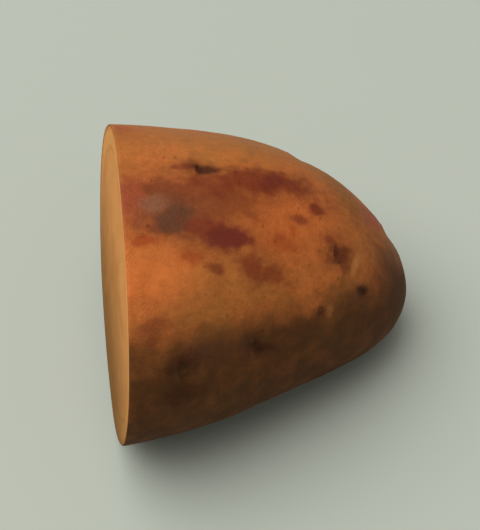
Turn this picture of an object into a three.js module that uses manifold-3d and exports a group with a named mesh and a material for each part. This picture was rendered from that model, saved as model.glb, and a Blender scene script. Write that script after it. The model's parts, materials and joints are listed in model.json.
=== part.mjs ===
// Half a potato, cut straight across its middle, lying on its belly with the cut face nearly upright.
// Millimetres, +Z up. +X points to the nose, and -X is the side of the cut.
// The origin is the middle of the small flat spot that the half rests on.
import * as THREE from "three";
import { mergeVertices } from "three/addons/utils/BufferGeometryUtils.js";
import Module from "manifold-3d";

// The whole tuber is an ellipsoid round the middle of the cut, before it is swollen and bent.
const NOSE_REACH = 61;
const HALF_WIDTH = 31.5;
const HALF_HEIGHT = 26.6;

// Its spine bends sideways and sinks as it runs towards the nose: slope * x + curve * x * x.
const SIDE_BEND = { slope: 0.126, curve: -0.0011 };
const DOWN_BEND = { slope: -0.038, curve: -0.0038 };

// The knife cuts through the middle, and the cut face leans back by this much.
const KNIFE_LEAN_DEG = 7;

// Skin this far above the lowest point is trimmed to the flat spot that the half rests on.
const REST_TRIM = 0.3;

// A place on the skin is two angles in degrees: from the nose, and round the spine, which is
// 0 on the far side, 90 on top, 180 on the near side and 270 underneath.
// A swell lifts the skin by its height in the middle, and fades out over its reach in degrees.
const SWELLS = [
  { name: "far shoulder beside the cut", fromNose: 115, around: 52, reach: 34, height: 6.9 },
  { name: "near flank beside the cut", fromNose: 83, around: 202, reach: 34, height: 5.6 },
  { name: "far shoulder of the nose", fromNose: 22, around: 63, reach: 20, height: 7.3 },
  { name: "far side of the belly", fromNose: 45, around: 307, reach: 23, height: 1.4 },
  { name: "flatter stretch over the near flank", fromNose: 75, around: 139, reach: 23, height: -1.8 },
];

// Shallow waves make the skin slightly uneven, as a tuber is that grew between stones.
const WAVES = [
  { toward: [0.9, 0.3, 0.4], turns: 1.3, phase: 0.6, height: 0.25 },
  { toward: [0.2, 0.9, -0.5], turns: 1.1, phase: 2.2, height: 0.25 },
  { toward: [-0.5, 0.4, 0.9], turns: 1.5, phase: 4.1, height: 0.16 },
  { toward: [0.6, -0.8, 0.5], turns: 1.9, phase: 1.3, height: 0.1 },
];

// An eye is a dent that is widest across the tuber, with a curved brow on the side of the cut.
// Width is where the dent has faded to about a third of its depth.
const EYES = [
  { fromNose: 54, around: 85, width: 7.5, depth: 1 },
  { fromNose: 20, around: 140, width: 5.5, depth: 0.9 },
  { fromNose: 25, around: 120, width: 6.5, depth: 0.6 },
  { fromNose: 30, around: 152, width: 5, depth: 0.6 },
  { fromNose: 46, around: 166, width: 8, depth: 1.2 },
  { fromNose: 70, around: 169, width: 8, depth: 1 },
  { fromNose: 12, around: 60, width: 6, depth: 1 },
  { fromNose: 31, around: 48, width: 7, depth: 1 },
  { fromNose: 62, around: 22, width: 8.5, depth: 1.3 },
  { fromNose: 38, around: 350, width: 7.5, depth: 1.2 },
  { fromNose: 20, around: 300, width: 6, depth: 1 },
  { fromNose: 66, around: 308, width: 8, depth: 1.1 },
  { fromNose: 43, around: 222, width: 7.5, depth: 1.1 },
];
const EYE_LENGTH_TO_WIDTH = 0.6;
const EYE_REACH_TO_WIDTH = 2;
const BROW_HEIGHT_TO_DEPTH = 0.45;
const BROW_DISTANCE_TO_WIDTH = 0.38;
const BROW_THICKNESS_TO_WIDTH = 0.2;
const BROW_SPAN_TO_WIDTH = 1.1;
const BROW_CURL_TO_WIDTH = 0.6;

// The skin is a geodesic sphere stretched towards the nose, so that its triangles are even on the tuber.
// They are drawn together at the eyes by this share of the way, from this many eye widths around.
const SPHERE_DETAIL = 24;
const SPHERE_STRETCH = 45;
const GATHER_SHARE = 0.62;
const GATHER_REACH_TO_WIDTH = 1.4;

// Vertices closer than this are one vertex, and a vertex this near the floor is on the flat spot.
const SAME_PLACE = 1e-3;

const SKIN_COLOUR = "#9c6436";

// Unit vector at the two angles that place a thing on the skin
function towards({ fromNose, around }) {
  const polar = THREE.MathUtils.degToRad(fromNose);
  const turn = THREE.MathUtils.degToRad(around);
  return new THREE.Vector3(
    Math.cos(polar),
    Math.sin(polar) * Math.cos(turn),
    Math.sin(polar) * Math.sin(turn),
  );
}

// The ellipsoid's point in a direction from its middle
function ellipsoidPoint(direction) {
  const { x, y, z } = direction;
  return direction.clone().divideScalar(Math.hypot(x / NOSE_REACH, y / HALF_WIDTH, z / HALF_HEIGHT));
}

// How far the swells and waves lift the skin, along the direction from the tuber's middle
function slowLift(direction) {
  let lift = 0;
  for (const swell of SWELLS) {
    const reach = THREE.MathUtils.degToRad(swell.reach);
    lift += swell.height * Math.exp((direction.dot(towards(swell)) - 1) / reach ** 2);
  }
  for (const wave of WAVES) {
    const along = direction.dot(new THREE.Vector3(...wave.toward).normalize());
    lift += wave.height * Math.sin(2 * Math.PI * wave.turns * along + wave.phase);
  }
  return lift;
}

// An eye with its middle and the axes that its dent is drawn on: towards the nose, and across the tuber
function eyeFrame(eye) {
  const centre = ellipsoidPoint(towards(eye));
  const squares = new THREE.Vector3(NOSE_REACH ** 2, HALF_WIDTH ** 2, HALF_HEIGHT ** 2);
  const outward = centre.clone().divide(squares).normalize();
  const across = new THREE.Vector3(1, 0, 0).cross(outward).normalize();
  const toNose = outward.clone().cross(across);
  return { ...eye, centre, across, toNose };
}

const EYE_FRAMES = EYES.map(eyeFrame);

// Lift of one eye at a point of the ellipsoid: below zero in the dent, above zero on the brow
function eyeLift(eye, point) {
  const offset = point.clone().sub(eye.centre);
  if (offset.length() > EYE_REACH_TO_WIDTH * eye.width) return 0;
  const u = offset.dot(eye.toNose) / eye.width;
  const v = offset.dot(eye.across) / eye.width;
  const dent = Math.exp(-((2 * u / EYE_LENGTH_TO_WIDTH) ** 2) - (2 * v) ** 2);
  const fromBrow = u + BROW_DISTANCE_TO_WIDTH - BROW_CURL_TO_WIDTH * v ** 2;
  const brow = Math.exp(-((fromBrow / BROW_THICKNESS_TO_WIDTH) ** 2) - (2 * v / BROW_SPAN_TO_WIDTH) ** 2);
  return eye.depth * (BROW_HEIGHT_TO_DEPTH * brow - dent);
}

// The skin's point in a direction, bent with the spine
function skinPoint(direction) {
  const base = ellipsoidPoint(direction);
  let lift = slowLift(direction);
  for (const eye of EYE_FRAMES) {
    lift += eyeLift(eye, base);
  }
  const point = base.addScaledVector(direction, lift);
  point.y += SIDE_BEND.slope * point.x + SIDE_BEND.curve * point.x ** 2;
  point.z += DOWN_BEND.slope * point.x + DOWN_BEND.curve * point.x ** 2;
  return point;
}

// Draws a direction in towards the eyes near it, so that their dents have enough vertices
function gatherAtEyes(direction) {
  const point = ellipsoidPoint(direction);
  for (const eye of EYE_FRAMES) {
    const apart = point.distanceTo(eye.centre) / (eye.width * GATHER_REACH_TO_WIDTH);
    if (apart < 1) point.lerp(eye.centre, GATHER_SHARE * (1 - apart ** 2) ** 2);
  }
  return point.normalize();
}

// A three.js geometry with its shared vertices merged, so that it closes
function closedSurface(geometry) {
  geometry.deleteAttribute("normal");
  geometry.deleteAttribute("uv");
  return mergeVertices(geometry, SAME_PLACE);
}

// The whole tuber's surface: a geodesic sphere, pushed out to the skin
function tuberSurface() {
  const surface = closedSurface(new THREE.IcosahedronGeometry(1, SPHERE_DETAIL));
  const stretch = new THREE.Vector3(SPHERE_STRETCH, HALF_WIDTH, HALF_HEIGHT);
  const positions = surface.attributes.position;
  for (let i = 0; i < positions.count; i += 1) {
    const direction = new THREE.Vector3().fromBufferAttribute(positions, i).multiply(stretch).normalize();
    const point = skinPoint(gatherAtEyes(direction));
    positions.setXYZ(i, point.x, point.y, point.z);
  }
  return surface;
}

// A closed surface as a solid that can be cut
function solidFrom(surface) {
  const vertProperties = surface.attributes.position.array;
  const triVerts = new Uint32Array(surface.index.array);
  return new wasm.Manifold(new wasm.Mesh({ numProp: 3, vertProperties, triVerts }));
}

// A box that holds everything beyond the plane through a point
function boxBeyond(point, outward) {
  const side = 4 * NOSE_REACH;
  const box = closedSurface(new THREE.BoxGeometry(side, side, side).translate(0, 0, side / 2));
  box.applyQuaternion(new THREE.Quaternion().setFromUnitVectors(new THREE.Vector3(0, 0, 1), outward));
  box.translate(point.x, point.y, point.z);
  return solidFrom(box);
}

// The half that the knife leaves, with its cut face leaning back
function cutHalf() {
  const lean = THREE.MathUtils.degToRad(KNIFE_LEAN_DEG);
  const outward = new THREE.Vector3(-Math.cos(lean), 0, Math.sin(lean));
  return solidFrom(tuberSurface()).subtract(boxBeyond(new THREE.Vector3(), outward));
}

// Moves a surface so that the middle of its flat spot, which is at the given height, is the origin
function standOnOrigin(surface, floor) {
  const positions = surface.attributes.position;
  const spot = new THREE.Box3();
  for (let i = 0; i < positions.count; i += 1) {
    const vertex = new THREE.Vector3().fromBufferAttribute(positions, i);
    if (Math.abs(vertex.z - floor) < SAME_PLACE) spot.expandByPoint(vertex);
  }
  const middle = spot.getCenter(new THREE.Vector3());
  return surface.translate(-middle.x, -middle.y, -floor);
}

// The half, trimmed to its flat spot and standing on it
function halfPotato() {
  const half = cutHalf();
  const floor = half.boundingBox().min[2] + REST_TRIM;
  const down = new THREE.Vector3(0, 0, -1);
  const trimmed = half.subtract(boxBeyond(new THREE.Vector3(0, 0, floor), down)).getMesh();
  const surface = new THREE.BufferGeometry();
  surface.setAttribute("position", new THREE.BufferAttribute(trimmed.vertProperties, 3));
  surface.setIndex(new THREE.BufferAttribute(trimmed.triVerts, 1));
  return standOnOrigin(surface, floor);
}

const wasm = await Module();
wasm.setup();

const skin = new THREE.MeshStandardMaterial({ color: SKIN_COLOUR, roughness: 0.6, metalness: 0 });
const potato = new THREE.Mesh(halfPotato(), skin);
potato.name = "potato";
potato.geometry.computeVertexNormals();

const part = new THREE.Group();
part.add(potato);

export default part;
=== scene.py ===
import json
import math

import bpy
import numpy as np
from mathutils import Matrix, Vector, noise
from mathutils.bvhtree import BVHTree


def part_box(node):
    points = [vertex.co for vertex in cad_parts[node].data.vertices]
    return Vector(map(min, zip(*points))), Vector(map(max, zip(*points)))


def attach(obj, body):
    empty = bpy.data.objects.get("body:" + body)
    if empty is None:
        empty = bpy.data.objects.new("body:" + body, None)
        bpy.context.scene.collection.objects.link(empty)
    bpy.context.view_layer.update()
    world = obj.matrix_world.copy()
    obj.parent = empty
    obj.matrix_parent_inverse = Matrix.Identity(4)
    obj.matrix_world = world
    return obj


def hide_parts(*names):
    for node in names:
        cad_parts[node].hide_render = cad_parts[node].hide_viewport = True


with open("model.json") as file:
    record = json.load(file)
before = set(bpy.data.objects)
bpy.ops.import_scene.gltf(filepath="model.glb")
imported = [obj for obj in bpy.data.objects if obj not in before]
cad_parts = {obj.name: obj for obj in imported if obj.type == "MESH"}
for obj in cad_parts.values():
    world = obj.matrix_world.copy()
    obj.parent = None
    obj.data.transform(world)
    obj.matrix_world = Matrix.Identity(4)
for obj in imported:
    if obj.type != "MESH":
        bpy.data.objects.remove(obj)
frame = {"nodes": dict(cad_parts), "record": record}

MM_PER_M = 1000

# The tuber that the half was cut from: an ellipsoid round its middle, bent by slope * x + curve * x * x.
# The middle is a place in the part's frame.
NOSE_REACH = 61
HALF_WIDTH = 31.5
HALF_HEIGHT = 26.6
SEMI_AXES = np.array([NOSE_REACH, HALF_WIDTH, HALF_HEIGHT])
SIDE_BEND = (0.126, -0.0011)
DOWN_BEND = (-0.038, -0.0038)
TUBER_MIDDLE = np.array([-27.44, -1.69, 28.82])

# A place on the skin is two angles in degrees: from the nose, and round the spine, which is
# 0 on the far side, 90 on top, 180 on the near side and 270 underneath.
# The solid has a dent at each eye. What is added there is set by (from nose, around, width in mm).
EYES = [
    (54, 85, 3.4),
    (20, 140, 4),
    (25, 120, 3),
    (30, 152, 3.5),
    (46, 166, 5.5),
    (70, 169, 5.5),
    (12, 60, 4.5),
    (31, 48, 5.5),
    (62, 22, 6.5),
    (38, 350, 6),
    (20, 300, 5),
    (66, 308, 6.5),
    (43, 222, 6),
]
EYE_REACH_TO_WIDTH = 2

# An eye's forms as (height in mm, half length towards the nose, half width), the lengths in eye widths.
# The crease and the ridge behind it follow a line that lies behind the middle and curls to the nose.
EYE_RIDGE = (0.2, 0.09, 0.42)
EYE_CREASE = (-0.25, 0.06, 0.36)
EYE_HOLLOW = (-0.35, 0.13, 0.22)
EYE_BUD = (0.5, 0.07, 0.08)
EYE_LINE_BACK = 0.2
EYE_LINE_CURL = 0.6
EYE_RIDGE_BACK = 0.13
CREASE_SHARE_OF_PIT = 0.5
BUD_SHARE_OF_PIT = -0.5

# Small healed dents. Their angle from the nose is drawn as a cosine, which spreads them evenly.
DING_SEED = 5
DINGS = 46
DING_COSINES = (-0.1, 0.98)
DING_SIZES = (0.8, 2.6)
DING_STRETCHES = (1, 3)
DING_DEPTHS_TO_SIZE = (0.04, 0.1)
DING_REACH_TO_SIZE = 4

# Noise that makes something uneven, as (height, wavelength in mm, shift of the noise)
SKIN_UNEVENNESS = [(0.13, 9, 0), (0.06, 4.2, 7), (0.022, 1.6, 3)]
MARK_ROUGHNESS = [(0.55, 3.4, 4), (0.45, 1.4, 8)]
BELLY_WAVER = [(3.5, 9, 9), (1.5, 3, 5)]
KNIFE_WAVER = [(2, 14, 6)]
PITH_WAVER = [(5, 8, 3)]

# The camera looks at the half from above its near side, with a long lens
CAMERA_AZIMUTH_DEG = -8.67
CAMERA_ELEVATION_DEG = 48
CAMERA_DISTANCE = 0.27098
CAMERA_TARGET = Vector((0.00006, 0, 0.02698))
CAMERA_LENS_MM = 85

# Blotches, as (name, from nose, around, half length, half width in mm, turn in degrees, tint, strength).
# The length runs towards the nose, and turns towards the near side.
MARKS = [
    ("brown stretch on top", 46, 103, 4.5, 3.4, 0, "russet", 0.50),
    ("brown below the first eye", 51.5, 93, 3.4, 2.8, 0, "russet", 0.55),
    ("dark band towards the nose", 40, 90.5, 9.6, 2.6, -5, "maroon", 0.75),
    ("darkest part of the band", 37, 89.5, 2.4, 1.4, -19, "plum", 0.65),
    ("band beside the cut", 69, 97.5, 7.0, 2.1, 5, "russet", 0.80),
    ("red edge of the cut", 79.5, 98.5, 2.3, 2.6, 0, "pink", 0.75),
    ("faint red on the cut's far edge", 80, 57, 1.6, 2.5, 0, "pink", 0.50),
    ("russet under the band", 70.5, 111.5, 2.2, 1.6, 0, "russet", 0.75),
    ("dark grey patch", 64, 108, 3.8, 2.8, -15, "soot", 0.85),
    # A greyish patch on the top by the cut
    ("grey scuff", 71.5, 101.5, 2.6, 1.5, 0, "grey", 0.48),
    ("trail below the grey patch", 54.5, 115, 4.2, 1.7, 27, "maroon", 0.70),
    ("plum blotch", 48.2, 119.5, 3.7, 2.3, 6, "plum", 0.92),
    ("tail of the first eye", 60, 84, 1.8, 0.9, 0, "plum", 0.55),
    ("first eye", 53.3, 84.5, 2.1, 1.1, 8, "black", 0.88),
    ("dash under the first eye", 52.5, 92.5, 1.0, 0.4, 0, "russet", 0.80),
    ("red patch near the cut", 75.5, 118, 2.3, 1.0, 0, "rust", 0.75),
    ("long red patch", 60, 127, 2.2, 1.5, 10, "rust", 0.60),
    ("brown dot", 54, 132, 1.4, 1.0, 35, "russet", 0.85),
    ("small dot on the shoulder", 28.5, 98.5, 1.4, 1.2, 0, "maroon", 0.80),
    ("small dash on the shoulder", 32, 107, 1.7, 0.8, 0, "maroon", 0.62),
    ("thin stroke on the shoulder", 34, 113, 0.6, 1.5, 0, "rust", 0.55),
    ("orange spots", 36.5, 121, 2.0, 1.6, 0, "rust", 0.50),
    ("round spot", 24.5, 122, 2.5, 2.4, 0, "umber dark", 0.85),
    # The pale rims are partly paler skin and partly painted highlight on the lit side of their dents
    ("pale rim of the round spot", 21.8, 123, 0.6, 2.2, 0, "pale", 0.60),
    ("pale rim of the small eye", 28, 152, 0.6, 1.4, 0, "pale", 0.35),
    ("tail of the round spot", 26.5, 114, 1.1, 0.7, -35, "maroon", 0.45),
    ("oval blotch", 39.5, 135.5, 2.6, 1.7, 5, "maroon", 0.58),
    ("wing of the oval blotch", 43.5, 131.5, 1.8, 2.0, 0, "maroon", 0.60),
    ("pink rim of the nose", 15.5, 73, 4.2, 2.2, -56, "pink", 0.75),
    ("eye by the nose", 20.5, 140, 1.3, 1.1, 0, "black", 0.80),
    ("small eye low on the nose", 30, 152, 1.5, 1.0, 0, "black", 0.40),
    ("low eye", 45.7, 166, 2.3, 1.3, 0, "black", 0.50),
    ("low blotch by the cut", 70.5, 165, 3.2, 1.8, 0, "black", 0.45),
    ("lowest blotch by the cut", 71, 177, 3.3, 2.2, 0, "black", 0.38),
    ("red streak over the belly", 78, 150, 2.8, 1.1, 0, "russet", 0.60),
    ("small red streak", 79, 155, 1.5, 0.9, 0, "russet", 0.60),
    ("dark patch behind the belly's edge", 60, 163, 5.0, 2.4, 0, "soot", 0.45),
]

# Casts and hazes with soft edges, laid on before the blotches. The warm glow by the cut is painted light;
# the dull far shoulders and far side, the dark side and end of the nose and the brown shade over the belly
# are painted shade.
SOFT_MARKS = [
    ("red haze along the top", 54, 99, 22.0, 6.5, 2, "russet", 0.66),
    ("haze round the grey patch", 66, 105, 8.0, 4.5, 0, "russet", 0.50),
    ("haze round the trail", 52, 112, 9.0, 4.2, 12, "russet", 0.48),
    ("haze under the trail", 55, 122, 7.0, 3.2, 10, "russet", 0.42),
    ("red cast on the shoulder", 37, 117, 6.0, 5.0, 0, "rust", 0.30),
    ("red cast on the cut's edge", 79, 99, 4.0, 4.5, 0, "pink", 0.35),
    ("haze round the oval blotch", 42, 133, 5.5, 3.5, 0, "russet", 0.35),
    ("haze round the round spot", 24.5, 122, 4.0, 4.0, 0, "russet", 0.32),
    # Painted light: a brighter patch on the near side by the cut
    ("warm glow by the cut", 78, 134, 9.0, 6.0, 0, "orange", 0.75),
    ("warm shoulder", 40, 112, 6.0, 5.0, 0, "orange", 0.35),
    ("light shoulder by the nose", 31, 107, 5.0, 4.0, 0, "orange", 0.45),
    # Painted shade on the nose's far shoulder
    ("dull far shoulder of the nose", 22, 74, 4.5, 7.5, -30, "olive", 0.45),
    # Painted shade on the nose's low side and on its end
    ("dark side of the nose", 24, 150, 6.0, 5.0, 0, "umber", 0.72),
    ("dark end of the nose", 13, 128, 6.0, 8.5, 0, "umber", 0.85),
    # Painted shade on the far side, from the shoulder to the cut
    ("dull far shoulder", 42, 60, 14.0, 8.0, 0, "tan", 0.60),
    ("dull far side by the cut", 72, 60, 14.0, 9.0, 0, "tan", 0.50),
    ("brown shade over the belly", 60, 149, 18.0, 5.5, -8, "olive", 0.40),
]

# How a mark is laid on, as (size, blur, weight, raggedness): a soft one once, a blotch as a halo and a body
SOFT = (1, 0.75, 1, 0.4)
HALO = (1.5, 0.75, 0.4, 1)
BODY = (1, 0.45, 1, 1)
MARK_SHAKE = 1.2
MARK_SHAKE_WAVELENGTH = 7
MARK_SHAKE_SHIFTS = (11, 23, 37)
MARK_REACH_TO_SIZE = 3
MARK_REACH_BEYOND = 4

# Noise tears a mark's edge by least + half length * half width / area, up to most
TORN_LEAST = 0.22
TORN_MOST = 0.75
TORN_AREA = 8

# Chance blotches and specks on the sides that the photo doesn't show
HIDDEN_SEED = 11
HIDDEN_BLOTCHES = 34
HIDDEN_SPECKS = 60
HIDDEN_COSINES = (-0.05, 0.93)
HIDDEN_AROUND = (226, 412)
HIDDEN_BLOTCH_LENGTHS = (1.3, 5.5)
HIDDEN_SPECK_LENGTHS = (0.5, 1.1)
HIDDEN_WIDTHS_TO_LENGTH = (0.4, 0.9)
HIDDEN_TURNS = (-25, 25)
HIDDEN_STRENGTHS = (0.4, 0.85)
HIDDEN_TINTS = ["russet", "maroon", "rust", "soot", "plum"]

# Tints are sRGB, from 0 to 255
TINTS = {
    "russet": (110, 55, 28),
    "maroon": (104, 42, 24),
    "plum": (94, 36, 27),
    "rust": (140, 62, 26),
    "pink": (140, 68, 44),
    "soot": (84, 52, 36),
    "grey": (122, 88, 68),
    "black": (50, 18, 10),
    "orange": (192, 106, 52),
    "tan": (136, 90, 48),
    "pale": (172, 112, 60),
    "olive": (92, 58, 24),
    "umber": (84, 50, 24),
    "umber dark": (82, 38, 20),
}

# The belly is painted darker, in an earthy brown: this is painted shade of the underside. Its border's
# height over the spine is top + slope * x + curve * x * x in mm, and rises towards the near side.
BELLY_TOP = 3.9
BELLY_BEND = (-0.153, 0.0042)
BELLY_RISE_TO_NEAR_SIDE = 0.36
BELLY_BLUR = 4.5

# The skin's mesh: rings of points round the nose, and then a sleeve of rings to the cut
RING_CELLS = 128
SLEEVE_ROWS = 106
RIM_CROWDING = 0.5
RIM_CROWDING_REACH = 0.02
AIM_STRETCH = (48, 35, 28.5)
GATHER_SHARE = 0.4
GATHER_REACH_TO_WIDTH = 1.3
SMOOTHING_STEPS = 30
SINK = 0.08

# Rays start this far inside the cut. The relief grows from nothing over this height above the floor, and
# this near the cut it moves points along the cut's plane only. A point this low lies on the flat spot.
START_INSIDE = 0.02
FLOOR_FADE = 0.8
CUT_FADE = 1.2
ON_FLOOR = 1e-3

# The cut face: the skin's own edge, how the flesh has shrunk from it, and the knife's faint arcs, which
# begin between these distances from the edge. The knife's pivot is aside of the middle and above it.
CHAMFER = 0.12
EDGE_STRIP = 0.35
DRIED_EDGE = 0.08
DRIED_REACH = 1.5 * EDGE_STRIP
DISH_DEPTH = 0.3
DISH_REACH = 10
KNIFE_RIPPLE = 0.035
KNIFE_RIPPLE_STARTS = (0.3, 3)
KNIFE_PIVOT = (-60, -40)
KNIFE_ARC_SPACING = 6.5

# The pith in the middle of the cut face, and its arms, as (direction in degrees, length in mm). An arm's
# spread is in radians, and the border is how the pith fades, in mm.
PITH_RADIUS = 6
PITH_ARMS = ((20, 7), (104, 4), (171, 10), (228, 5), (318, 6))
PITH_ARM_SPREAD = 0.28
PITH_BORDER = (-4, 3)

# Faint rays from the pith: noise on a circle of this radius, stretched outwards by this length in mm, that
# begins between these distances from the middle
RAY_DENSITY = 14
RAY_LENGTH = 9
RAY_STARTS = (3, 12)

# The skin's colours, in sRGB from 0 to 255
SKIN_TAN = (158, 98, 46)
SKIN_ORANGE = (172, 97, 47)
SKIN_BROWN = (128, 75, 36)
# The belly's earthy brown: painted shade of the underside
SKIN_BELLY_SHADE = (69, 43, 20)
# Darkens the eyes' hollows and creases: partly the eyes' own brown, partly painted shade
PIT_BROWN = (44, 22, 14)
PIT_STRENGTH = 0.4
MARK_RAGGEDNESS = 3.2
MARK_BRUSH = (0.45, 1, 1)
# Marks on the belly are darkened by this factor: painted shade of the underside
MARK_SHADE_ON_BELLY = (0.7, 0.7, 0.7)

# The skin's finest detail, in mm. A warp is (wavelength, amount), and the net shows where the broad
# patches lie between these values.
LENTICEL_SPACING = 2.7
LENTICEL_SIZE = 0.17
LENTICEL_BLUR = 0.03
LENTICEL_WARP = (4, 1.2)
NET_SPACING = 1.25
NET_LINE = 0.1
NET_WARP = (1.7, 1.1)
NET_SHOWS = (0.42, 0.62)

# What the mottle, the grain, the net and the lenticels add to the skin's shade, and to its height in mm
SKIN_SHADE = 0.58
SKIN_SHADES = (0.5, 0.34, -0.07, -0.26)
SKIN_HEIGHTS = (0.07, 0.05, -0.03, 0.05)

# The cut face's colours, and the heights in mm between which it darkens towards the floor, a painted shade
FLESH = (189, 132, 80)
FLESH_CORTEX = (193, 137, 84)
FLESH_PITH = (168, 114, 64)
FLESH_RIM = (164, 106, 58)
FLESH_LOW_SHADE = (78, 62, 38)
FLESH_STARCH = (222, 180, 130)
RING_BROWN = (142, 88, 40)
CUT_SKIN = (96, 54, 30)
FLESH_DARKENS = (50, -8)
PITH_STRENGTH = 0.45

# The cut face's detail, in mm: how far its layers wander, the fades of its rim and of the skin's cut edge,
# its ring of vessels with the dots on it, and its grains of starch
FLESH_WANDER = 3.0
FLESH_WANDER_WAVELENGTH = 15
FLESH_RIM_FADE = (1.6, 0.2)
CUT_SKIN_FADE = (0.32, 0.18)
RING_INSET = 5.2
RING_INNER_SIDE = (-0.6, 1.5)
RING_LINE_FADE = (0.85, 0.1)
RING_BREAK_SIZE = 2.2
RING_DOT_SPACING = 1.5
RING_DOT_FADE = (0.24, 0.1)
RING_DOTS_END = (1.3, 0.4)
STARCH_SPACING = 0.8
STARCH_FADE = (0.22, 0.08)
DRAG_STRETCH = (1, 0.12, 1)

# The floor, whose half side is in metres, and the world: light from all round, and the tone that is seen
FLOOR_COLOUR = (160, 172, 172)
FLOOR_HALF_SIDE = 8
AMBIENT = (1.0, 0.88, 0.72, 1)
AMBIENT_STRENGTH = 0.36
HORIZON_COLOUR = (164, 171, 162)

# Lights, as directions from the potato. The key and the sun shine from the same side.
KEY_TOWARD = (-0.40, 0.08, 0.91)
KEY_COLOUR = (1.0, 0.92, 0.80)
KEY_DISTANCE = 0.9
KEY_SIZE = 1.0
KEY_POWER = 4.5
SUN_STRENGTH = 2.3
SUN_SPREAD_DEG = 75
FILL_TOWARD = (0.5, -0.8, 0.5)
FILL_COLOUR = (1.0, 0.95, 0.9)
FILL_DISTANCE = 1.2
FILL_SIZE = 0.9
FILL_POWER = 0.6


def unit(vectors):
    """Vectors at length one"""
    return vectors / np.linalg.norm(vectors, axis=-1, keepdims=True)


def fade(value, start, end):
    """Smooth step from 0 at start to 1 at end"""
    share = np.clip((value - start) / (end - start), 0, 1)
    return share * share * (3 - 2 * share)


def linear(rgb):
    """An sRGB colour from 0 to 255 as linear red, green, blue"""
    share = np.array(rgb) / 255
    return np.where(share <= 0.04045, share / 12.92, ((share + 0.055) / 1.055) ** 2.4)


def rgba(rgb):
    """An sRGB colour from 0 to 255 as a socket's colour"""
    return (*linear(rgb), 1)


def noise_at(points, wavelength, shift=0):
    """Smooth noise from about -1 to 1 at points"""
    offset = Vector((shift, 2 * shift, -shift))
    return np.array([noise.noise(Vector(p) / wavelength + offset) for p in points])


def shake_at(points):
    """Smooth offsets that bend the marks' edges, in millimetres"""
    noises = [noise_at(points, MARK_SHAKE_WAVELENGTH, shift) for shift in MARK_SHAKE_SHIFTS]
    return MARK_SHAKE * np.stack(noises, axis=1)


def uneven(points, noises):
    """The sum of some noises at points"""
    return sum(height * noise_at(points, wavelength, shift) for height, wavelength, shift in noises)


def bend(amounts, x):
    """How far the spine's bend moves a point at x"""
    slope, curve = amounts
    return slope * x + curve * x * x


def on_ellipsoid(points):
    """The plain ellipsoid's points that skin points belong to"""
    x, y, z = (points - TUBER_MIDDLE).T
    straight = np.stack([x, y - bend(SIDE_BEND, x), z - bend(DOWN_BEND, x)], axis=1)
    return straight / np.linalg.norm(straight / SEMI_AXES, axis=1, keepdims=True)


def bent(points):
    """Where points of the straight ellipsoid lie once its spine is bent"""
    x, y, z = points.T
    return np.stack([x, y + bend(SIDE_BEND, x), z + bend(DOWN_BEND, x)], axis=1)


def place(from_nose, around):
    """A place's middle on the ellipsoid, and its axes towards the nose and across the tuber"""
    polar = math.radians(from_nose)
    turn = math.radians(around)
    toward = np.array([math.cos(polar), math.sin(polar) * math.cos(turn), math.sin(polar) * math.sin(turn)])
    centre = toward / np.linalg.norm(toward / SEMI_AXES)
    outward = unit(centre / SEMI_AXES**2)
    across = unit(np.cross([1, 0, 0], outward))
    return centre, np.cross(outward, across), across


def cut_plane():
    """A point of the cut face and its outward direction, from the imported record's mount"""
    mount = next(m for m in frame["record"]["mounts"] if m["name"] == "cut_face")
    return np.array(mount["pos_m"]) * MM_PER_M, unit(np.array(mount["axis"]))


def solid_tree():
    """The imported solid, ready to be hit by rays"""
    mesh = frame["nodes"]["potato"].data
    points = [v.co * MM_PER_M for v in mesh.vertices]
    return BVHTree.FromPolygons(points, [tuple(p.vertices) for p in mesh.polygons])


def hits(tree, origin, directions):
    """Where rays from one point inside leave the solid"""
    start = Vector(origin)
    return np.array([tree.ray_cast(start, Vector(d))[0] for d in directions])


def square_rings(cells):
    """For each point of a square grid: its ring, 0 in the middle to 1 at the edge, and its turn round it"""
    half = cells // 2
    line = np.arange(-half, half + 1)
    a, b = np.meshgrid(line, line, indexing="ij")
    ring = np.maximum(abs(a), abs(b))
    side = np.select([b == -ring, a == ring, b == ring], [0, 1, 2], 3)
    along = np.choose(side, [a, b, -a, -b]) / np.maximum(ring, 1)
    return (ring / half).ravel(), ((side + (along + 1) / 2) / 4).ravel()


def square_faces(cells):
    """Quads of a square grid"""
    index = np.arange((cells + 1) ** 2).reshape(cells + 1, cells + 1)
    corners = [index[:-1, :-1], index[1:, :-1], index[1:, 1:], index[:-1, 1:]]
    return np.stack(corners, axis=-1).reshape(-1, 4)


def square_edge(cells):
    """The grid's outermost points, in the order of their turn"""
    index = np.arange((cells + 1) ** 2).reshape(cells + 1, cells + 1)
    return np.concatenate([index[:-1, 0], index[-1, :-1], index[:0:-1, -1], index[0, :0:-1]])


def band_faces(first, second):
    """Quads between two loops of as many points"""
    return np.stack([first, second, np.roll(second, -1), np.roll(first, -1)], axis=1)


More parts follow.
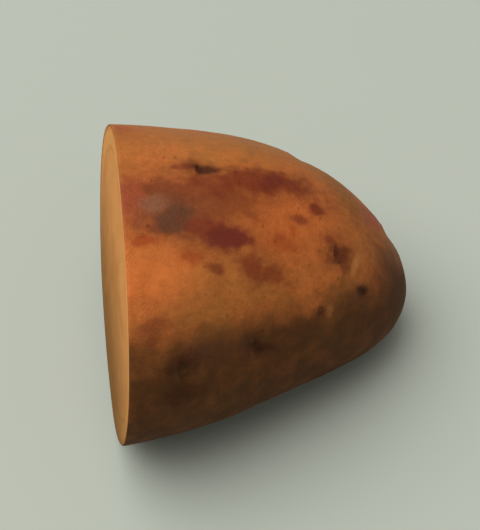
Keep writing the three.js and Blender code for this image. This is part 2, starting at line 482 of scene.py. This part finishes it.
class SkinGrid:
    """Points of the skin from the nose to the cut, their rows, and the faces between them"""

    def __init__(self):
        ring, turn = square_rings(RING_CELLS)
        count = len(ring)
        around = 4 * RING_CELLS
        nose_rows = RING_CELLS // 2
        rows = nose_rows + SLEEVE_ROWS
        steps = (np.arange(SLEEVE_ROWS) + 1 + nose_rows) / rows
        loops = count + np.arange(SLEEVE_ROWS * around).reshape(SLEEVE_ROWS, around)
        self.row = np.concatenate([ring * nose_rows / rows, np.repeat(steps, around)])
        self.turn = np.concatenate([turn, np.tile(np.arange(around) / around, SLEEVE_ROWS)])
        self.rim = loops[-1]
        bands = [band_faces(square_edge(RING_CELLS), loops[0])]
        bands += [band_faces(loops[i], loops[i + 1]) for i in range(SLEEVE_ROWS - 1)]
        self.faces = np.concatenate([square_faces(RING_CELLS), *bands])

    def aims(self, inward, side, up):
        """A direction for each point, from the middle of the cut face"""
        left = 1 - self.row
        row = 1 - left * (1 - RIM_CROWDING * np.exp(-left / RIM_CROWDING_REACH))
        polar = row * math.pi / 2
        spin = 2 * math.pi * self.turn
        long, wide, high = AIM_STRETCH
        return unit(
            np.outer(np.cos(polar) * long, inward)
            + np.outer(np.sin(polar) * np.cos(spin) * wide, side)
            + np.outer(np.sin(polar) * np.sin(spin) * high, up)
        )


class Neighbours:
    """Means over the neighbours of each point of a mesh of quads, and its normals"""

    def __init__(self, faces, count):
        ends = np.concatenate([faces[:, [i, (i + 1) % 4]] for i in range(4)])
        ends = np.unique(np.sort(ends, axis=1), axis=0)
        self.start = np.concatenate([ends[:, 0], ends[:, 1]])
        self.end = np.concatenate([ends[:, 1], ends[:, 0]])
        self.faces = faces
        self.count = count
        self.share = 1 / np.bincount(self.start, minlength=count)

    def mean(self, values):
        columns = [np.bincount(self.start, column[self.end], self.count) for column in values.T]
        return (np.stack(columns) * self.share).T

    def normals(self, points):
        a, b, c, d = (points[self.faces[:, i]] for i in range(4))
        across = np.cross(c - a, d - b)
        total = np.zeros((self.count, 3))
        for corner in range(4):
            for axis in range(3):
                total[:, axis] += np.bincount(self.faces[:, corner], across[:, axis], self.count)
        return unit(total)


def eye_places():
    """Each eye's middle, axes and width"""
    return [(*place(from_nose, around), width) for from_nose, around, width in EYES]


def gathered(points):
    """Skin points drawn together at the eyes"""
    ellipsoid = on_ellipsoid(points)
    moved = ellipsoid.copy()
    for centre, _, _, width in eye_places():
        apart = np.linalg.norm(ellipsoid - centre, axis=1) / (GATHER_REACH_TO_WIDTH * width)
        pull = GATHER_SHARE * np.clip(1 - apart**2, 0, 1) ** 2
        moved += pull[:, None] * (centre - moved)
    return points + bent(moved) - bent(ellipsoid)


def smoothed(points, grid, neighbours, floor_points):
    """Skin points with the solid's facets smoothed away, its rim kept in the cut plane and its spot flat"""
    rim = grid.rim
    for _ in range(SMOOTHING_STEPS):
        mean = neighbours.mean(points)
        loop = points[rim]
        mean[rim] = (np.roll(loop, 1, axis=0) + np.roll(loop, -1, axis=0)) / 2
        points = (points + mean) / 2
        points[floor_points, 2] = 0
    return points


def bump_share(form, u, v):
    """How far a rounded form has risen at a place in eye widths, from 0 to 1"""
    _, half_length, half_width = form
    return np.exp(-((u / half_length) ** 2) - (v / half_width) ** 2)


def eye_relief(ellipsoid):
    """Height of the eyes' ridges, creases, hollows and buds, and how far each point lies in a pit"""
    lift = np.zeros(len(ellipsoid))
    pit = np.zeros(len(ellipsoid))
    for centre, to_nose, across, width in eye_places():
        offset = ellipsoid - centre
        near = np.linalg.norm(offset, axis=1) < EYE_REACH_TO_WIDTH * width
        u = offset @ to_nose / width
        v = offset @ across / width
        from_line = u + EYE_LINE_BACK - EYE_LINE_CURL * v**2
        ridge = bump_share(EYE_RIDGE, from_line + EYE_RIDGE_BACK, v)
        crease = bump_share(EYE_CREASE, from_line, v)
        hollow = bump_share(EYE_HOLLOW, u, v)
        bud = bump_share(EYE_BUD, u, v)
        lift += near * (EYE_RIDGE[0] * ridge + EYE_CREASE[0] * crease)
        lift += near * (EYE_HOLLOW[0] * hollow + EYE_BUD[0] * bud)
        deep = hollow + CREASE_SHARE_OF_PIT * crease + BUD_SHARE_OF_PIT * bud
        pit = np.maximum(pit, near * np.clip(deep, 0, 1))
    return lift, pit


def dings(ellipsoid):
    """Small healed dents, scattered by chance"""
    random = np.random.default_rng(DING_SEED)
    lift = np.zeros(len(ellipsoid))
    for _ in range(DINGS):
        from_nose = math.degrees(math.acos(random.uniform(*DING_COSINES)))
        centre, to_nose, across = place(from_nose, random.uniform(0, 360))
        size = random.uniform(*DING_SIZES)
        turn = random.uniform(0, math.pi)
        stretch = random.uniform(*DING_STRETCHES)
        depth = random.uniform(*DING_DEPTHS_TO_SIZE) * size
        offset = ellipsoid - centre
        u = offset @ to_nose
        v = offset @ across
        a = (u * math.cos(turn) + v * math.sin(turn)) / (size * stretch)
        b = (v * math.cos(turn) - u * math.sin(turn)) / size
        near = np.linalg.norm(offset, axis=1) < DING_REACH_TO_SIZE * size * stretch
        lift -= near * depth * np.exp(-(a**2) - b**2)
    return lift


def skin_lift(points, ellipsoid):
    """How far the skin stands off the smooth form, in millimetres"""
    return uneven(points, SKIN_UNEVENNESS) + dings(ellipsoid) - SINK


def mark_cover(warped, rough, mark, size, blur):
    """How far one mark, drawn this much larger and this blurred, covers each point"""
    _, from_nose, around, long, wide, turn, _, strength = mark
    centre, to_nose, across = place(from_nose, around)
    offset = warped - centre
    u = offset @ to_nose
    v = offset @ across
    spin = math.radians(turn)
    a = (u * math.cos(spin) + v * math.sin(spin)) / long
    b = (v * math.cos(spin) - u * math.sin(spin)) / wide
    reach = MARK_REACH_TO_SIZE * max(long, wide) + MARK_REACH_BEYOND
    near = np.linalg.norm(offset, axis=1) < reach
    torn = min(TORN_MOST, TORN_LEAST + long * wide / TORN_AREA)
    apart = np.sqrt(a**2 + b**2) / size + rough * torn
    return near * strength * fade(apart, 1 + blur, 1 - blur)


def hidden_marks():
    """Blotches and specks by chance, on the sides that the photo doesn't show"""
    random = np.random.default_rng(HIDDEN_SEED)
    found = []
    for i in range(HIDDEN_BLOTCHES + HIDDEN_SPECKS):
        name, lengths = "hidden blotch", HIDDEN_BLOTCH_LENGTHS
        if i >= HIDDEN_BLOTCHES:
            name, lengths = "hidden speck", HIDDEN_SPECK_LENGTHS
        from_nose = math.degrees(math.acos(random.uniform(*HIDDEN_COSINES)))
        around = random.uniform(*HIDDEN_AROUND) % 360
        long = random.uniform(*lengths)
        wide = long * random.uniform(*HIDDEN_WIDTHS_TO_LENGTH)
        tint = random.choice(HIDDEN_TINTS)
        turn = random.uniform(*HIDDEN_TURNS)
        found.append((name, from_nose, around, long, wide, turn, tint, random.uniform(*HIDDEN_STRENGTHS)))
    return found


def painted(points, ellipsoid):
    """Colour of the marks at each point, and how far they cover it"""
    warped = ellipsoid + shake_at(points)
    rough = uneven(points, MARK_ROUGHNESS)
    colour = np.zeros((len(points), 3))
    cover = np.zeros(len(points))
    blotches = hidden_marks() + MARKS
    layers = [(mark, SOFT) for mark in SOFT_MARKS]
    layers += [(mark, HALO) for mark in blotches]
    layers += [(mark, BODY) for mark in blotches]
    for mark, (size, blur, weight, torn) in layers:
        amount = weight * mark_cover(warped, torn * rough, mark, size, blur)
        total = amount + cover * (1 - amount)
        share = amount / np.maximum(total, 1e-6)
        *_, tint, _ = mark
        colour += share[:, None] * (linear(TINTS[tint]) - colour)
        cover = total
    return np.concatenate([colour, cover[:, None]], axis=1)


def belly_shade_share(points, ellipsoid):
    """1 on the belly, where shade is painted on the skin, and 0 above it"""
    x, y, z = ellipsoid.T
    top = BELLY_TOP + bend(BELLY_BEND, x) - BELLY_RISE_TO_NEAR_SIDE * y + uneven(points, BELLY_WAVER)
    return fade(top - z, -BELLY_BLUR, BELLY_BLUR)


def skin_shape(tree, middle, outward):
    """The skin's points in millimetres, its grid, and what its material reads at each point"""
    inward = -outward
    side = np.array([0, 1, 0])
    up = np.cross(inward, side)
    grid = SkinGrid()
    start = middle + START_INSIDE * inward
    points = hits(tree, start, grid.aims(inward, side, up))
    drawn = gathered(points)
    away = np.maximum((drawn - middle) @ inward, START_INSIDE)
    drawn += (away - (drawn - middle) @ inward)[:, None] * inward
    points = hits(tree, start, unit(drawn - start))
    floor_points = points[:, 2] < ON_FLOOR
    points[grid.rim] -= ((points[grid.rim] - middle) @ inward)[:, None] * inward
    neighbours = Neighbours(grid.faces, len(points))
    points = smoothed(points, grid, neighbours, floor_points)
    ellipsoid = on_ellipsoid(points)
    eye_lift, pit = eye_relief(ellipsoid)
    lift = (skin_lift(points, ellipsoid) + eye_lift) * fade(points[:, 2], 0, FLOOR_FADE)
    push = lift[:, None] * neighbours.normals(points)
    at_cut = 1 - fade((points - middle) @ inward, 0, CUT_FADE)
    push -= (at_cut * (push @ inward))[:, None] * inward
    traits = {"pit": pit, "belly": belly_shade_share(points, ellipsoid)}
    return grid, points + push, traits, painted(points, ellipsoid)


def cap_shape(rim, middle, outward):
    """The cut face's points inside the rim, and what its material reads at each point"""
    ring, turn = square_rings(RING_CELLS)
    spin = turn * len(rim)
    loop = np.concatenate([rim, rim[:1]])
    edge = np.stack([np.interp(spin, np.arange(len(loop)), column) for column in loop.T], axis=1)
    reach = np.linalg.norm(edge - middle, axis=1)
    out = ring * (reach - EDGE_STRIP)
    points = middle + (edge - middle) * (out / reach)[:, None]
    inset = reach - out
    shrink = DRIED_EDGE * fade(inset, 0, DRIED_REACH)
    dish = DISH_DEPTH * fade(inset, 0, DISH_REACH)
    ripple = KNIFE_RIPPLE * (1 + np.sin(knife_phase(points, middle))) * fade(inset, *KNIFE_RIPPLE_STARTS)
    angle = 2 * math.pi * turn
    traits = {"inset": inset, "pith": pith_share(points, angle, out), "rays": rays(angle, out)}
    return points - np.outer(shrink + dish + ripple, outward), traits


def knife_phase(points, middle):
    """Phase of the faint arcs that the knife left as it was rocked through"""
    aside, above = (points - middle)[:, 1:].T
    away = np.hypot(aside - KNIFE_PIVOT[0], above - KNIFE_PIVOT[1])
    return 2 * math.pi * away / KNIFE_ARC_SPACING + uneven(points, KNIFE_WAVER)


def pith_share(points, angle, out):
    """1 in the watery pith and its arms, and 0 outside them"""
    reach = PITH_RADIUS + uneven(points, PITH_WAVER)
    for arm, length in PITH_ARMS:
        apart = (angle - math.radians(arm) + math.pi) % (2 * math.pi) - math.pi
        reach += length * np.exp(-((apart / PITH_ARM_SPREAD) ** 2))
    return fade(reach - out, *PITH_BORDER)


def rays(angle, out):
    """Faint rays from the pith to the skin, from about -1 to 1"""
    wheel = np.stack([RAY_DENSITY * np.cos(angle), RAY_DENSITY * np.sin(angle), out / RAY_LENGTH], axis=1)
    return noise_at(wheel, 1) * fade(out, *RAY_STARTS)


def potato_mesh():
    """One closed mesh of the skin and the cut face, with the values that their materials read"""
    tree = solid_tree()
    middle, outward = cut_plane()
    grid, skin, traits, marks = skin_shape(tree, middle, outward)
    low, high = (np.array(corner) * MM_PER_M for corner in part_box("potato"))
    skin = np.clip(skin, low, high)
    rim = skin[grid.rim]
    skin[grid.rim] = rim - CHAMFER * unit(rim - middle)
    cap, cap_traits = cap_shape(skin[grid.rim], middle, outward)
    first = len(skin)
    cap_faces = first + square_faces(RING_CELLS)[:, ::-1]
    strip = band_faces(grid.rim, first + square_edge(RING_CELLS))
    faces = np.concatenate([grid.faces, strip, cap_faces])
    mesh = bpy.data.meshes.new("potato_half")
    points = np.concatenate([skin, cap]) / MM_PER_M
    mesh.from_pydata(points.tolist(), [], faces.tolist())
    mesh.polygons.foreach_set("use_smooth", np.ones(len(faces), bool))
    on_cut = np.arange(len(faces)) >= len(grid.faces)
    mesh.polygons.foreach_set("material_index", on_cut.astype(np.int32))
    for name, values in traits.items():
        add_values(mesh, name, np.concatenate([values, np.zeros(len(cap))]))
    for name, values in cap_traits.items():
        add_values(mesh, name, np.concatenate([np.zeros(len(skin)), values]))
    paint = mesh.attributes.new("marks", "FLOAT_COLOR", "POINT")
    both = np.concatenate([marks, np.zeros((len(cap), 4))])
    paint.data.foreach_set("color", both.astype(np.float32).ravel())
    mark_rim_sharp(mesh, grid.rim)
    return mesh


def add_values(mesh, name, values):
    """Give each point of the mesh a value that a material can read"""
    attribute = mesh.attributes.new(name, "FLOAT", "POINT")
    attribute.data.foreach_set("value", values.astype(np.float32))


def mark_rim_sharp(mesh, rim):
    """The knife's edge stays crisp in smooth shading"""
    ends = np.zeros(2 * len(mesh.edges), np.int32)
    mesh.edges.foreach_get("vertices", ends)
    on_rim = np.isin(ends.reshape(-1, 2), rim).all(axis=1)
    sharp = mesh.attributes.new("sharp_edge", "BOOLEAN", "EDGE")
    sharp.data.foreach_set("value", on_rim)


class Graph:
    """A material's nodes, with a short call for each kind that is used often"""

    def __init__(self, name):
        self.material = bpy.data.materials.new(name)
        self.material.use_nodes = True
        self.tree = self.material.node_tree
        self.tree.nodes.clear()
        where = self.node("ShaderNodeTexCoord").outputs["Object"]
        self.place = self.vector("SCALE", where, Scale=MM_PER_M)

    def node(self, kind, settings=None, inputs=None):
        node = self.tree.nodes.new(kind)
        for name, value in (settings or {}).items():
            setattr(node, name, value)
        for name, value in (inputs or {}).items():
            self.feed(node.inputs[name], value)
        return node

    def feed(self, socket, value):
        if isinstance(value, bpy.types.NodeSocket):
            self.tree.links.new(value, socket)
        else:
            socket.default_value = value

    def vector(self, operation, a, b=None, **inputs):
        node = self.node("ShaderNodeVectorMath", {"operation": operation}, {0: a, **inputs})
        if b is not None:
            self.feed(node.inputs[1], b)
        return node.outputs["Vector"]

    def math(self, operation, a, b=0.0, clamp=False):
        node = self.node("ShaderNodeMath", {"operation": operation, "use_clamp": clamp}, {0: a, 1: b})
        return node.outputs[0]

    def total(self, start, *shares):
        """A start value with values added to it, each as (value, factor)"""
        for value, factor in shares:
            start = self.math("ADD", start, self.math("MULTIPLY", value, factor))
        return start

    def step(self, value, start, end, low=0.0, high=1.0):
        """Smooth step of a value, from low at start to high at end"""
        inputs = {"Value": value, "From Min": start, "From Max": end, "To Min": low, "To Max": high}
        node = self.node("ShaderNodeMapRange", {"interpolation_type": "SMOOTHSTEP"}, inputs)
        return node.outputs["Result"]

    def mix(self, share, a, b, blend="MIX"):
        node = self.node("ShaderNodeMix", {"data_type": "RGBA", "blend_type": blend})
        for socket, value in ((node.inputs[0], share), (node.inputs[6], a), (node.inputs[7], b)):
            self.feed(socket, value)
        return node.outputs[2]

    def tone(self, colour, shade):
        """The colour multiplied by a grey"""
        grey = self.node("ShaderNodeCombineColor", None, {"Red": shade, "Green": shade, "Blue": shade})
        return self.mix(1.0, colour, grey.outputs[0], "MULTIPLY")

    def noise(self, size, detail=2.0, rough=0.5, distortion=0.0, place=None):
        inputs = {"Vector": place or self.place, "Scale": 1 / size, "Detail": detail}
        inputs.update({"Roughness": rough, "Distortion": distortion})
        return self.node("ShaderNodeTexNoise", None, inputs).outputs["Fac"]

    def cells(self, size, feature="F1", place=None):
        inputs = {"Vector": place or self.place, "Scale": 1 / size}
        return self.node("ShaderNodeTexVoronoi", {"feature": feature}, inputs)

    def warped(self, size, amount):
        """The place, shaken by noise"""
        node = self.node("ShaderNodeTexNoise", None, {"Vector": self.place, "Scale": 1 / size})
        shake = self.vector("SUBTRACT", node.outputs["Color"], (0.5, 0.5, 0.5))
        return self.vector("ADD", self.place, self.vector("SCALE", shake, Scale=amount))

    def trait(self, name):
        return self.node("ShaderNodeAttribute", {"attribute_name": name}).outputs["Fac"]

    def bump(self, height):
        """Normals from a height in millimetres"""
        inputs = {"Height": height, "Distance": 1 / MM_PER_M, "Strength": 1.0}
        return self.node("ShaderNodeBump", None, inputs).outputs["Normal"]

    def finish(self, inputs):
        shader = self.node("ShaderNodeBsdfPrincipled", None, inputs)
        output = self.node("ShaderNodeOutputMaterial")
        self.tree.links.new(shader.outputs[0], output.inputs["Surface"])
        return self.material


def lenticels(graph):
    """Small corky dots: 1 in their middle and 0 between them"""
    cell = graph.cells(LENTICEL_SPACING, place=graph.warped(*LENTICEL_WARP))
    size = graph.math("MULTIPLY", cell.outputs["Color"], LENTICEL_SIZE)
    inner = graph.math("SUBTRACT", size, cell.outputs["Distance"])
    return graph.step(inner, -LENTICEL_BLUR, LENTICEL_BLUR)


def skin_net(graph, broad):
    """The russet net: 1 on its lines, where the broad patches let it show"""
    cell = graph.cells(NET_SPACING, "DISTANCE_TO_EDGE", graph.warped(*NET_WARP))
    lines = graph.step(cell.outputs["Distance"], NET_LINE, 0.0)
    return graph.math("MULTIPLY", lines, graph.step(broad, *NET_SHOWS))


def with_marks(graph, colour, belly):
    """The colour with the marks over it, their edges torn along the tuber"""
    marks = graph.node("ShaderNodeAttribute", {"attribute_name": "marks"})
    cover = marks.outputs["Alpha"]
    edge = graph.math("MULTIPLY", cover, graph.math("SUBTRACT", 1.0, cover))
    brushed = graph.vector("MULTIPLY", graph.place, MARK_BRUSH)
    ragged = graph.math("SUBTRACT", graph.noise(1.0, detail=4, rough=0.65, place=brushed), 0.5)
    ragged = graph.math("MULTIPLY", graph.math("MULTIPLY", ragged, edge), MARK_RAGGEDNESS)
    cover = graph.math("ADD", cover, ragged, clamp=True)
    # On the belly the marks are darkened too: painted shade
    tint = graph.mix(belly, marks.outputs["Color"], (*MARK_SHADE_ON_BELLY, 1), "MULTIPLY")
    return graph.mix(cover, colour, tint)


def skin_material():
    graph = Graph("potato_skin")
    broad = graph.noise(17, detail=3, rough=0.55)
    patch = graph.noise(5.2, detail=4, rough=0.6, distortion=0.4)
    mottle = graph.noise(1.9, detail=4, rough=0.62)
    grain = graph.noise(0.55, detail=3, rough=0.6)
    details = (mottle, grain, skin_net(graph, broad), lenticels(graph))
    belly = graph.trait("belly")
    colour = graph.mix(graph.step(broad, 0.35, 0.65), rgba(SKIN_TAN), rgba(SKIN_ORANGE))
    brown = graph.step(patch, 0.48, 0.72, low=0.0, high=0.55)
    colour = graph.mix(brown, colour, rgba(SKIN_BROWN))
    # The belly is painted in an earthy brown: painted shade of the underside
    painted_belly_shade = graph.math("MULTIPLY", belly, graph.step(patch, 0.2, 0.6, low=0.75, high=0.95))
    colour = graph.mix(painted_belly_shade, colour, rgba(SKIN_BELLY_SHADE))
    colour = with_marks(graph, colour, belly)
    # The eyes' hollows and creases are darkened: partly their own brown, partly painted shade
    pit = graph.math("MULTIPLY", graph.trait("pit"), PIT_STRENGTH)
    colour = graph.mix(pit, colour, rgba(PIT_BROWN))
    shade = graph.total(SKIN_SHADE, *zip(details, SKIN_SHADES))
    height = graph.total(0.0, *zip(details, SKIN_HEIGHTS))
    rough = graph.total(0.0, (graph.step(mottle, 0.3, 0.7, low=0.5, high=0.62), 1.0), (belly, 0.15))
    return graph.finish({
        "Base Color": graph.tone(colour, shade),
        "Roughness": rough,
        "Specular IOR Level": 0.12,
        "Normal": graph.bump(height),
    })


def ring_of_vessels(graph, depth, colour):
    """The flesh's colour with the brown ring of vessels in it, a broken line with dots along it"""
    off = graph.math("ABSOLUTE", graph.math("SUBTRACT", depth, RING_INSET))
    breaks = graph.step(graph.noise(RING_BREAK_SIZE, detail=3), 0.3, 0.65, low=0.1, high=0.4)
    line = graph.math("MULTIPLY", graph.step(off, *RING_LINE_FADE), breaks)
    colour = graph.mix(line, colour, rgba(RING_BROWN))
    dots = graph.step(graph.cells(RING_DOT_SPACING).outputs["Distance"], *RING_DOT_FADE)
    dots = graph.math("MULTIPLY", dots, graph.step(off, *RING_DOTS_END, low=0.0, high=0.5))
    return graph.mix(dots, colour, rgba(RING_BROWN))


def flesh_material():
    graph = Graph("potato_flesh")
    inset = graph.trait("inset")
    pith = graph.trait("pith")
    cloud = graph.noise(9, detail=3, rough=0.55)
    grain = graph.noise(0.7, detail=3, rough=0.6)
    wander = graph.math("SUBTRACT", graph.noise(FLESH_WANDER_WAVELENGTH, detail=1), 0.5)
    wander = graph.math("MULTIPLY", wander, FLESH_WANDER)
    depth = graph.math("ADD", inset, wander)
    outer_side, inner_side = (RING_INSET + side for side in RING_INNER_SIDE)
    inner = graph.step(depth, outer_side, inner_side)
    colour = graph.mix(inner, rgba(FLESH_CORTEX), rgba(FLESH))
    colour = graph.mix(graph.math("MULTIPLY", pith, PITH_STRENGTH), colour, rgba(FLESH_PITH))
    colour = graph.mix(graph.step(inset, *FLESH_RIM_FADE, low=0.0, high=0.7), colour, rgba(FLESH_RIM))
    colour = ring_of_vessels(graph, depth, colour)
    starch = graph.cells(STARCH_SPACING).outputs["Distance"]
    starch = graph.step(starch, *STARCH_FADE, low=0.0, high=0.22)
    colour = graph.mix(starch, colour, rgba(FLESH_STARCH))
    up = graph.node("ShaderNodeSeparateXYZ", None, {0: graph.place}).outputs["Z"]
    # The cut face darkens towards the floor: painted shade
    low = graph.step(graph.math("ADD", up, wander), *FLESH_DARKENS, low=0.0, high=0.9)
    colour = graph.mix(low, colour, rgba(FLESH_LOW_SHADE))
    colour = graph.tone(colour, graph.total(0.83, (cloud, 0.2), (grain, 0.14), (graph.trait("rays"), 0.05)))
    skin = graph.step(graph.total(0.0, (inset, 1.0), (grain, 0.1)), *CUT_SKIN_FADE)
    colour = graph.mix(skin, colour, rgba(CUT_SKIN))
    streaks = graph.vector("MULTIPLY", graph.place, DRAG_STRETCH)
    drag = graph.noise(1.1, detail=3, rough=0.6, distortion=0.3, place=streaks)
    dull = graph.step(cloud, 0.35, 0.65, low=0.32, high=0.5)
    return graph.finish({
        "Base Color": colour,
        "Roughness": graph.total(0.0, (dull, 1.0), (pith, -0.08)),
        "Subsurface Weight": 0.25,
        "Subsurface Radius": (1.0, 0.55, 0.25),
        "Subsurface Scale": 0.002,
        "Specular IOR Level": 0.0,
        "Normal": graph.bump(graph.total(0.0, (drag, 0.05), (grain, 0.03))),
    })


def make_potato():
    mesh = potato_mesh()
    mesh.materials.append(skin_material())
    mesh.materials.append(flesh_material())
    piece = bpy.data.objects.new("potato_half", mesh)
    bpy.context.scene.collection.objects.link(piece)
    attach(piece, "root")
    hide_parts("potato")


def make_camera():
    azimuth = math.radians(CAMERA_AZIMUTH_DEG)
    elevation = math.radians(CAMERA_ELEVATION_DEG)
    back = Vector((
        math.sin(azimuth) * math.cos(elevation),
        -math.cos(azimuth) * math.cos(elevation),
        math.sin(elevation),
    ))
    data = bpy.data.cameras.new("camera")
    data.lens = CAMERA_LENS_MM
    camera = bpy.data.objects.new("camera", data)
    camera.location = CAMERA_TARGET + back * CAMERA_DISTANCE
    camera.rotation_mode = "QUATERNION"
    camera.rotation_quaternion = (-back).to_track_quat("-Z", "Y")
    bpy.context.scene.collection.objects.link(camera)
    bpy.context.scene.camera = camera


def floor_material():
    material = bpy.data.materials.new("floor")
    material.use_nodes = True
    shader = material.node_tree.nodes["Principled BSDF"]
    shader.inputs["Base Color"].default_value = rgba(FLOOR_COLOUR)
    shader.inputs["Roughness"].default_value = 1.0
    shader.inputs["Specular IOR Level"].default_value = 0.0
    return material


def make_floor():
    side = FLOOR_HALF_SIDE
    mesh = bpy.data.meshes.new("floor")
    corners = [(-side, -side, 0), (side, -side, 0), (side, side, 0), (-side, side, 0)]
    mesh.from_pydata(corners, [], [(0, 1, 2, 3)])
    mesh.materials.append(floor_material())
    floor = bpy.data.objects.new("floor", mesh)
    bpy.context.scene.collection.objects.link(floor)


def make_sun(toward, strength, spread_deg, colour):
    """An even light from far away, with soft shadows"""
    data = bpy.data.lights.new("sun", "SUN")
    data.energy = strength
    data.angle = math.radians(spread_deg)
    data.color = colour
    light = bpy.data.objects.new("sun", data)
    light.rotation_mode = "QUATERNION"
    light.rotation_quaternion = Vector(toward).normalized().to_track_quat("Z", "Y")
    bpy.context.scene.collection.objects.link(light)


def make_light(name, toward, distance, size, power, colour):
    """A soft round light, in a direction from the potato, that shines at it"""
    data = bpy.data.lights.new(name, "AREA")
    data.shape = "DISK"
    data.size = size
    data.energy = power
    data.color = colour
    light = bpy.data.objects.new(name, data)
    direction = Vector(toward).normalized()
    light.location = direction * distance + CAMERA_TARGET
    light.rotation_mode = "QUATERNION"
    light.rotation_quaternion = direction.to_track_quat("Z", "Y")
    bpy.context.scene.collection.objects.link(light)


def make_world():
    """Even warm light from all round. Seen directly, the world has about the lit floor's colour"""
    world = bpy.data.worlds.new("studio")
    world.use_nodes = True
    tree = world.node_tree
    around = tree.nodes["Background"]
    around.inputs["Color"].default_value = AMBIENT
    around.inputs["Strength"].default_value = AMBIENT_STRENGTH
    behind = tree.nodes.new("ShaderNodeBackground")
    behind.inputs["Color"].default_value = rgba(HORIZON_COLOUR)
    mix = tree.nodes.new("ShaderNodeMixShader")
    tree.links.new(tree.nodes.new("ShaderNodeLightPath").outputs["Is Camera Ray"], mix.inputs[0])
    tree.links.new(around.outputs[0], mix.inputs[1])
    tree.links.new(behind.outputs[0], mix.inputs[2])
    tree.links.new(mix.outputs[0], tree.nodes["World Output"].inputs["Surface"])
    bpy.context.scene.world = world


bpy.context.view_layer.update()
make_camera()
make_potato()
make_floor()
make_light("key", KEY_TOWARD, KEY_DISTANCE, KEY_SIZE, KEY_POWER, KEY_COLOUR)
make_sun(KEY_TOWARD, SUN_STRENGTH, SUN_SPREAD_DEG, KEY_COLOUR)
make_light("fill", FILL_TOWARD, FILL_DISTANCE, FILL_SIZE, FILL_POWER, FILL_COLOUR)
make_world()
bpy.context.scene.view_settings.view_transform = "Standard"

bpy.context.view_layer.update()
